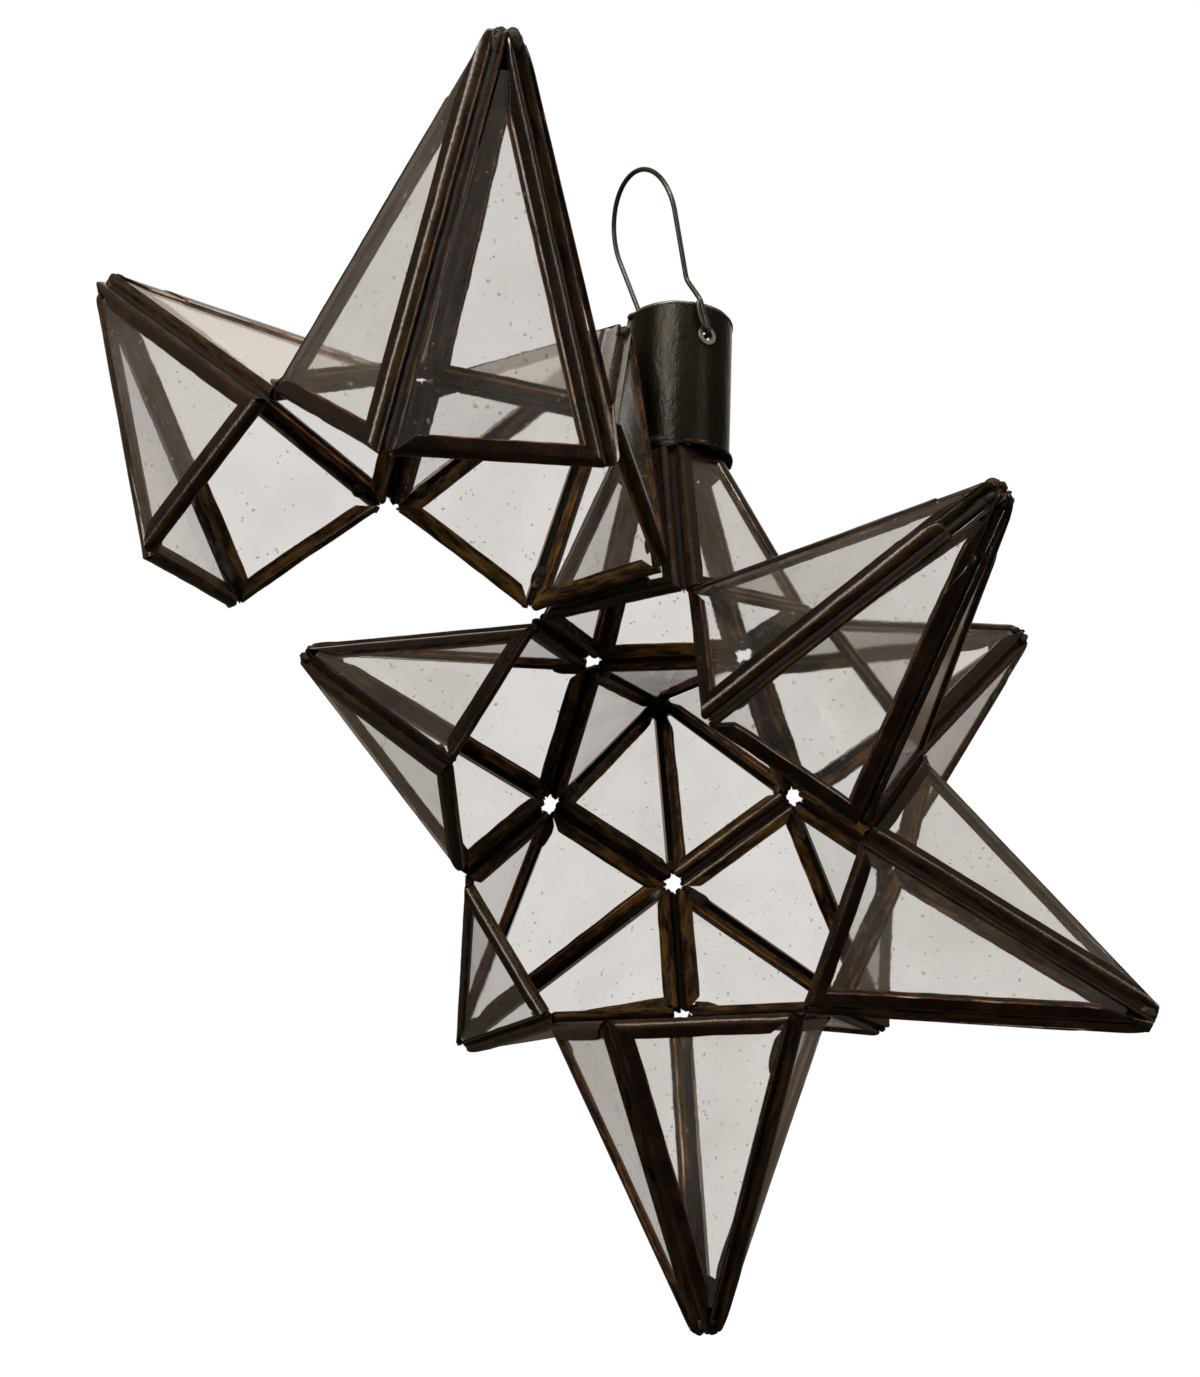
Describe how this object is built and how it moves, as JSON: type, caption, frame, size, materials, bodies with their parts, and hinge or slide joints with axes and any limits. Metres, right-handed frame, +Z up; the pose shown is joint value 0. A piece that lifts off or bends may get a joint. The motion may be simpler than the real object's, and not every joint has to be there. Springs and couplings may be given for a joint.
{
  "type": "star lamp",
  "caption": "Hanging star lamp of clear glass points in blackened tin strips, with a hinged door of three points, an open neck and a wire bail",
  "frame": {"origin": "hook point, inside the top of the bail's loop with the bail leaning as in the picture", "axes": "+Z up as the lamp hangs, +X to the right and -Y to the front as pictured"},
  "size_m": [0.2959, 0.3119, 0.3721],
  "materials": {
    "came_tin": "near-black patina on tin, semi-gloss, rust brown at the edges",
    "pane_glass": "clear, with fine seeds and dust",
    "solder": "blackened solder, lumpy, semi-gloss",
    "neck_tin": "olive-black patina on tin, glossy",
    "hinge_tin": "near-black patina on tin, worn",
    "bail_wire": "blackened wire, semi-gloss",
    "lamp_steel": "zinc-plated, dull",
    "lamp_plastic": "black moulded, matte",
    "lamp_brass": "drawn brass, dull"
  },
  "bodies": {
    "star": {"bottom_point_glass": "pane_glass", "bottom_point_ridge_cames": "came_tin", "bottom_point_rim_cames": "came_tin", "hinge_pin": "hinge_tin", "hinge_star_knuckles": "hinge_tin", "lamp_nipple": "lamp_steel", "lamp_nuts": "lamp_steel", "lamp_strap": "lamp_steel", "lampholder_body": "lamp_plastic", "lampholder_cap": "lamp_plastic", "lampholder_contact": "lamp_brass", "lampholder_screw_shell": "lamp_brass", "lower_left_back_point_glass": "pane_glass", "lower_left_back_point_ridge_cames": "came_tin", "lower_left_back_point_rim_cames": "came_tin", "lower_right_back_point_glass": "pane_glass", "lower_right_back_point_ridge_cames": "came_tin", "lower_right_back_point_rim_cames": "came_tin", "lower_right_point_glass": "pane_glass", "lower_right_point_ridge_cames": "came_tin", "lower_right_point_rim_cames": "came_tin", "neck_eyelets": "neck_tin", "neck_plate": "neck_tin", "neck_solder": "solder", "neck_tube": "neck_tin", "star_solder": "solder", "top_point_glass": "pane_glass", "top_point_ridge_cames": "came_tin", "top_point_rim_cames": "came_tin", "upper_back_point_glass": "pane_glass", "upper_back_point_ridge_cames": "came_tin", "upper_back_point_rim_cames": "came_tin", "upper_left_back_point_glass": "pane_glass", "upper_left_back_point_ridge_cames": "came_tin", "upper_left_back_point_rim_cames": "came_tin", "upper_right_back_point_glass": "pane_glass", "upper_right_back_point_ridge_cames": "came_tin", "upper_right_back_point_rim_cames": "came_tin", "upper_right_front_point_glass": "pane_glass", "upper_right_front_point_ridge_cames": "came_tin", "upper_right_front_point_rim_cames": "came_tin"},
    "door": {"door_front_point_glass": "pane_glass", "door_front_point_ridge_cames": "came_tin", "door_front_point_rim_cames": "came_tin", "door_left_point_glass": "pane_glass", "door_left_point_ridge_cames": "came_tin", "door_left_point_rim_cames": "came_tin", "door_solder": "solder", "door_upper_point_glass": "pane_glass", "door_upper_point_ridge_cames": "came_tin", "door_upper_point_rim_cames": "came_tin", "hinge_door_knuckle": "hinge_tin"},
    "bail": {"bail_wire": "bail_wire"}
  },
  "joints": [
    {"name": "door_hinge", "type": "hinge", "parent": "star", "child": "door", "pos_m": [-0.01371, -0.0222, -0.1561], "axis": [0.7905, -0.6106, 0.0475], "range_deg": [-3, 97.9]},
    {"name": "bail_swing", "type": "hinge", "parent": "star", "child": "bail", "pos_m": [0.01479, 0.00994, -0.06266], "axis": [0.4559, -0.8894, -0.0335], "range_deg": [-110, 70]}
  ]
}
